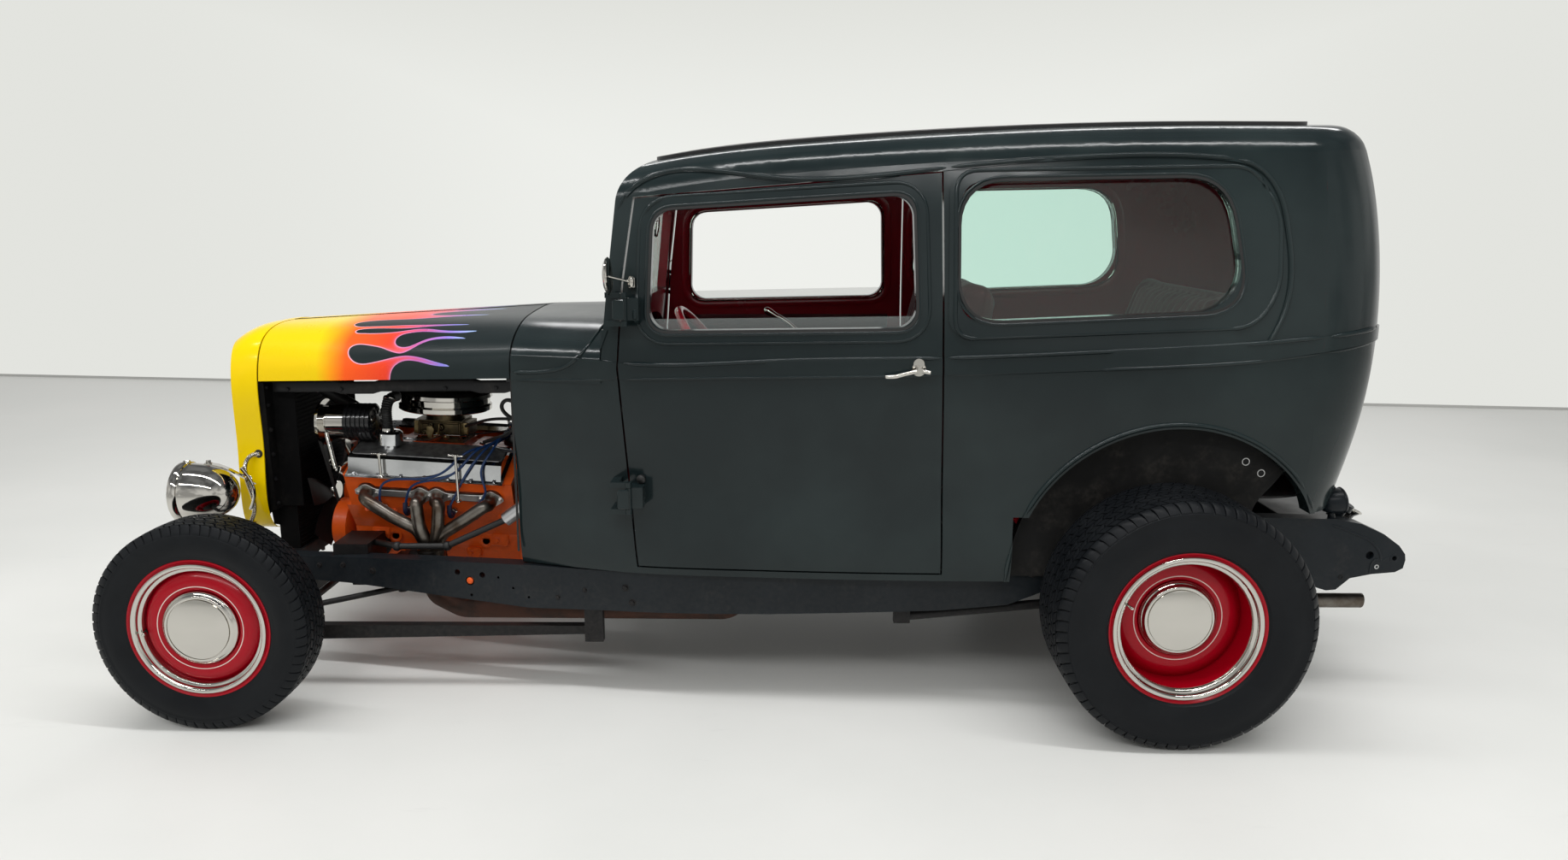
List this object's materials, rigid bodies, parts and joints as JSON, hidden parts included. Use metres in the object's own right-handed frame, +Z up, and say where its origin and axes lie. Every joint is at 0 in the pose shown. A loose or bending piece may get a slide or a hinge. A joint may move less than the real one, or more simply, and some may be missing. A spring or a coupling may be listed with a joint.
{
  "type": "hot rod",
  "caption": "Two-door hot rod sedan with an open engine bay, flamed hood, exposed front axle and wide rear tyres; doors, hood tops, steering and wheels move.",
  "frame": {"origin": "centre of the car's footprint on the floor", "axes": "+Z up, nose towards -X, driver's left side towards -Y"},
  "size_m": [3.753, 1.76, 1.7127],
  "materials": {
    "tyre": "black rubber",
    "wheel_red": "gloss red",
    "chassis_black": "satin black",
    "frame_paint": "satin blue-black",
    "column_metal": "brushed",
    "maroon_plastic": "gloss maroon",
    "cast_grey": "cast",
    "chrome": "chrome plate",
    "engine_orange": "engine enamel",
    "polished": "polished",
    "header_steel": "heat browned",
    "rusty_steel": "rusty",
    "carb_bronze": "dull bronze",
    "yellow_paint": "gloss yellow",
    "radiator_black": "matt black",
    "lens_glass": "clear",
    "flame_paint": "flames on satin black",
    "body_paint": "satin blue-black",
    "clear_glass": "clear",
    "tinted_glass": "smoke tint",
    "roof_cloth": "grained black cloth",
    "wheelhouse_grey": "grey primer",
    "maroon_paint": "gloss maroon",
    "maroon_fabric": "maroon cloth"
  },
  "bodies": {
    "chassis": {"air_cleaner": "chrome", "alternator": "chrome", "body_glass": "tinted_glass", "carburettor": "carb_bronze", "cowl": "body_paint", "crossmembers": "chassis_black", "dashboard": "maroon_paint", "driveline": "cast_grey", "engine": "engine_orange", "exhaust_pipes": "rusty_steel", "firewall": "body_paint", "floor": "chassis_black", "frame_rails": "frame_paint", "front_axle": "chassis_black", "fuel_tank": "frame_paint", "grille": "chassis_black", "grille_shell": "yellow_paint", "headers": "header_steel", "headlamp_lenses": "lens_glass", "headlamp_stands": "chrome", "headlamps": "chrome", "hood_supports": "chassis_black", "intake": "engine_orange", "lamp_conduits": "chrome", "quarter_panels": "body_paint", "radiator": "radiator_black", "radius_rods": "chassis_black", "rear_axle": "chassis_black", "rear_panel": "body_paint", "roof": "body_paint", "roof_insert": "roof_cloth", "seat_front": "maroon_fabric", "seat_rear": "maroon_fabric", "springs": "chassis_black", "steering_box": "chassis_black", "steering_column": "column_metal", "tail_lamps": "chrome", "valve_covers": "polished", "wheelhouses": "wheelhouse_grey"},
    "knuckle_left": {"knuckle_left": "chassis_black"},
    "knuckle_right": {"knuckle_right": "chassis_black"},
    "tie_rod": {"tie_rod": "chassis_black"},
    "pitman_arm": {"pitman_arm": "chassis_black"},
    "steering_wheel": {"steering_wheel": "maroon_plastic"},
    "wheel_front_left": {"wheel_front_left": "wheel_red", "tyre_front_left": "tyre"},
    "wheel_front_right": {"wheel_front_right": "wheel_red", "tyre_front_right": "tyre"},
    "wheel_rear_left": {"wheel_rear_left": "wheel_red", "tyre_rear_left": "tyre"},
    "wheel_rear_right": {"wheel_rear_right": "wheel_red", "tyre_rear_right": "tyre"},
    "door_left": {"door_left": "body_paint", "door_glass_left": "clear_glass", "handle_left": "chrome"},
    "door_right": {"door_right": "body_paint", "door_glass_right": "clear_glass", "handle_right": "chrome"},
    "hood_left": {"hood_left": "flame_paint"},
    "hood_right": {"hood_right": "flame_paint"}
  },
  "joints": [
    {"name": "steer_left", "type": "hinge", "parent": "chassis", "child": "knuckle_left", "pos_m": [-1.5765, -0.606, 0.3], "axis": [0, 0, 1], "range_deg": [-28, 28]},
    {"name": "steer_right", "type": "hinge", "parent": "chassis", "child": "knuckle_right", "pos_m": [-1.5765, 0.606, 0.3], "axis": [0, 0, 1], "range_deg": [-28, 28]},
    {"name": "tie_swing", "type": "hinge", "parent": "knuckle_left", "child": "tie_rod", "pos_m": [-1.4365, -0.606, 0.25], "axis": [0, 0, 1], "range_deg": [-28, 28]},
    {"name": "pitman_turn", "type": "hinge", "parent": "chassis", "child": "pitman_arm", "pos_m": [-1.3345, -0.28, 0.28], "axis": [0, 0, 1], "range_deg": [-28, 28]},
    {"name": "steering_wheel_turn", "type": "hinge", "parent": "chassis", "child": "steering_wheel", "pos_m": [-0.1665, -0.35, 0.995], "axis": [0.8, 0, 0.6], "range_deg": [-394, 394]},
    {"name": "spin_front_left", "type": "hinge", "parent": "knuckle_left", "child": "wheel_front_left", "pos_m": [-1.5765, -0.721, 0.3], "axis": [0, 1, 0], "continuous": true},
    {"name": "spin_front_right", "type": "hinge", "parent": "knuckle_right", "child": "wheel_front_right", "pos_m": [-1.5765, 0.721, 0.3], "axis": [0, 1, 0], "continuous": true},
    {"name": "spin_rear_left", "type": "hinge", "parent": "chassis", "child": "wheel_rear_left", "pos_m": [1.1155, -0.744, 0.35], "axis": [0, 1, 0], "continuous": true},
    {"name": "spin_rear_right", "type": "hinge", "parent": "chassis", "child": "wheel_rear_right", "pos_m": [1.1155, 0.744, 0.35], "axis": [0, 1, 0], "continuous": true},
    {"name": "door_left_swing", "type": "hinge", "parent": "chassis", "child": "door_left", "pos_m": [-0.3995, -0.646, 0.9], "axis": [0, 0, 1], "range_deg": [-65, 0]},
    {"name": "door_right_swing", "type": "hinge", "parent": "chassis", "child": "door_right", "pos_m": [-0.3995, 0.646, 0.9], "axis": [0, 0, 1], "range_deg": [0, 65]},
    {"name": "hood_left_lift", "type": "hinge", "parent": "chassis", "child": "hood_left", "pos_m": [-1.1785, 0, 1.108], "axis": [0.9981, 0, 0.0611], "range_deg": [-50, 0]},
    {"name": "hood_right_lift", "type": "hinge", "parent": "chassis", "child": "hood_right", "pos_m": [-1.1785, 0, 1.108], "axis": [0.9981, 0, 0.0611], "range_deg": [0, 50]}
  ],
  "couplings": [
    {"joint": "steer_right", "follows": "steer_left", "ratio": 1},
    {"joint": "tie_swing", "follows": "steer_left", "ratio": -1},
    {"joint": "pitman_turn", "follows": "steer_left", "ratio": 1},
    {"joint": "steering_wheel_turn", "follows": "steer_left", "ratio": 14}
  ]
}
